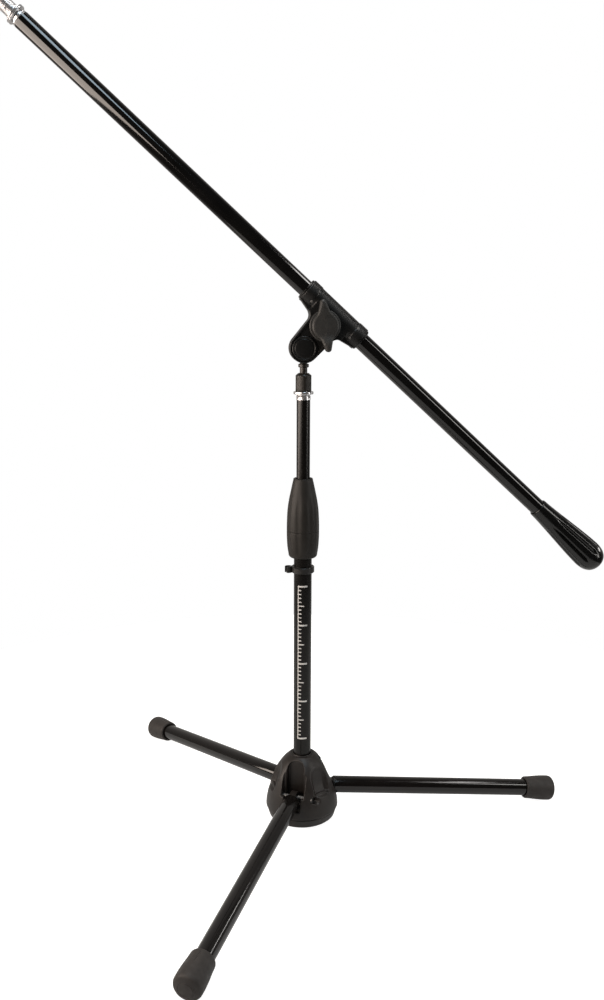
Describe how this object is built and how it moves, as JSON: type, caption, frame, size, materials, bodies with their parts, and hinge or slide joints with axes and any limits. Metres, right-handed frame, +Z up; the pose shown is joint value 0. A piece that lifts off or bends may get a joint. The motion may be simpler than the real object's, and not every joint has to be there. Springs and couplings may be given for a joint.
{
  "type": "boom microphone stand",
  "caption": "Tripod microphone stand with folding legs, quarter-turn height clutch, and a tilting, sliding boom with a threaded end and a counterweight handle.",
  "frame": {"origin": "on the floor, under the column's axis", "axes": "+Z up along the column; the boom lies in the XZ plane with its microphone end towards -X; the knob faces -Y"},
  "size_m": [0.6957, 0.5972, 0.9631],
  "materials": {
    "hub_plastic": "fine moulded texture, dark warm grey",
    "satin_black_paint": "satin black powder coat",
    "gloss_black_paint": "gloss black enamel",
    "leg_paint": "gloss black enamel, slightly orange-peeled",
    "grip_plastic": "soft-touch dark grey",
    "knob_plastic": "fine moulded texture",
    "shell_plastic": "glass-filled nylon",
    "foot_rubber": "dull rubber",
    "clip_plastic": "moulded",
    "chrome": "bright chrome plate",
    "socket_metal": "dark bronze-black oxide",
    "steel": "zinc-plated steel",
    "inner_plastic": "nylon",
    "handle_gloss": "polished black"
  },
  "bodies": {
    "base": {"hub": "hub_plastic", "base_plate": "hub_plastic", "base_screws": "steel", "neck_ring": "hub_plastic", "leg_pins": "steel", "lower_tube": "satin_black_paint", "clutch_core": "inner_plastic"},
    "cable_clip": {"cable_clip": "clip_plastic"},
    "clutch_grip": {"clutch_grip_lower": "grip_plastic", "clutch_grip_upper": "grip_plastic"},
    "collet": {"clutch_collet": "inner_plastic"},
    "upper_column": {"upper_tube": "satin_black_paint", "slide_bushing": "inner_plastic", "thread_stud": "chrome", "lock_ring": "chrome", "socket_nut": "socket_metal", "pivot_post": "socket_metal", "friction_discs": "inner_plastic"},
    "boom_head": {"clamp_shell_front": "shell_plastic", "clamp_shell_back": "shell_plastic", "clamp_screws": "steel", "pivot_cover_front": "shell_plastic", "pivot_cover_back": "shell_plastic", "pivot_bolt": "steel", "knob_bezel": "knob_plastic", "knob_nut": "steel"},
    "knob": {"wing_knob": "knob_plastic", "knob_screw": "steel"},
    "boom_sleeve": {"boom_bushing": "shell_plastic"},
    "boom": {"boom_tube": "gloss_black_paint", "mic_adaptor": "chrome", "mic_lock_ring": "chrome", "boom_handle": "handle_gloss"},
    "leg_right": {"leg_root_right": "hub_plastic", "leg_tube_right": "leg_paint", "rubber_foot_right": "foot_rubber"},
    "leg_left": {"leg_root_left": "hub_plastic", "leg_tube_left": "leg_paint", "rubber_foot_left": "foot_rubber"},
    "leg_front": {"leg_root_front": "hub_plastic", "leg_tube_front": "leg_paint", "rubber_foot_front": "foot_rubber"}
  },
  "joints": [
    {"name": "leg_right_fold", "type": "hinge", "parent": "base", "child": "leg_right", "pos_m": [0.02978, 0.00366, 0.0507], "axis": [0.1219, -0.9925, 0], "range_deg": [0, 94.5]},
    {"name": "leg_left_fold", "type": "hinge", "parent": "base", "child": "leg_left", "pos_m": [-0.01805, 0.02396, 0.0507], "axis": [0.7986, 0.6018, 0], "range_deg": [0, 94.5]},
    {"name": "leg_front_fold", "type": "hinge", "parent": "base", "child": "leg_front", "pos_m": [-0.01172, -0.02762, 0.0507], "axis": [-0.9205, 0.3907, 0], "range_deg": [0, 94.5]},
    {"name": "cable_clip_slide", "type": "slide", "parent": "base", "child": "cable_clip", "axis": [0, 0, 1], "range_m": [-0.22, 0.01]},
    {"name": "clutch_turn", "type": "hinge", "parent": "base", "child": "clutch_grip", "pos_m": [0, 0, 0.4], "axis": [0, 0, 1], "range_deg": [0, 90]},
    {"name": "column_swivel", "type": "hinge", "parent": "base", "child": "collet", "pos_m": [0, 0, 0.42], "axis": [0, 0, 1], "continuous": true},
    {"name": "column_lift", "type": "slide", "parent": "collet", "child": "upper_column", "axis": [0, 0, 1], "range_m": [-0.09, 0.16]},
    {"name": "boom_tilt", "type": "hinge", "parent": "upper_column", "child": "boom_head", "pos_m": [0, 0, 0.5972], "axis": [0, 1, 0], "range_deg": [-132.3, 47.7]},
    {"name": "knob_turn", "type": "hinge", "parent": "boom_head", "child": "knob", "pos_m": [0.02322, 0, 0.62272], "axis": [0, -1, 0], "range_deg": [0, 300]},
    {"name": "boom_roll", "type": "hinge", "parent": "boom_head", "child": "boom_sleeve", "pos_m": [0.03439, 0, 0.63499], "axis": [-0.7396, 0, 0.673], "continuous": true},
    {"name": "boom_slide", "type": "slide", "parent": "boom_sleeve", "child": "boom", "axis": [-0.7396, 0, 0.673], "range_m": [-0.4, 0.29]}
  ]
}
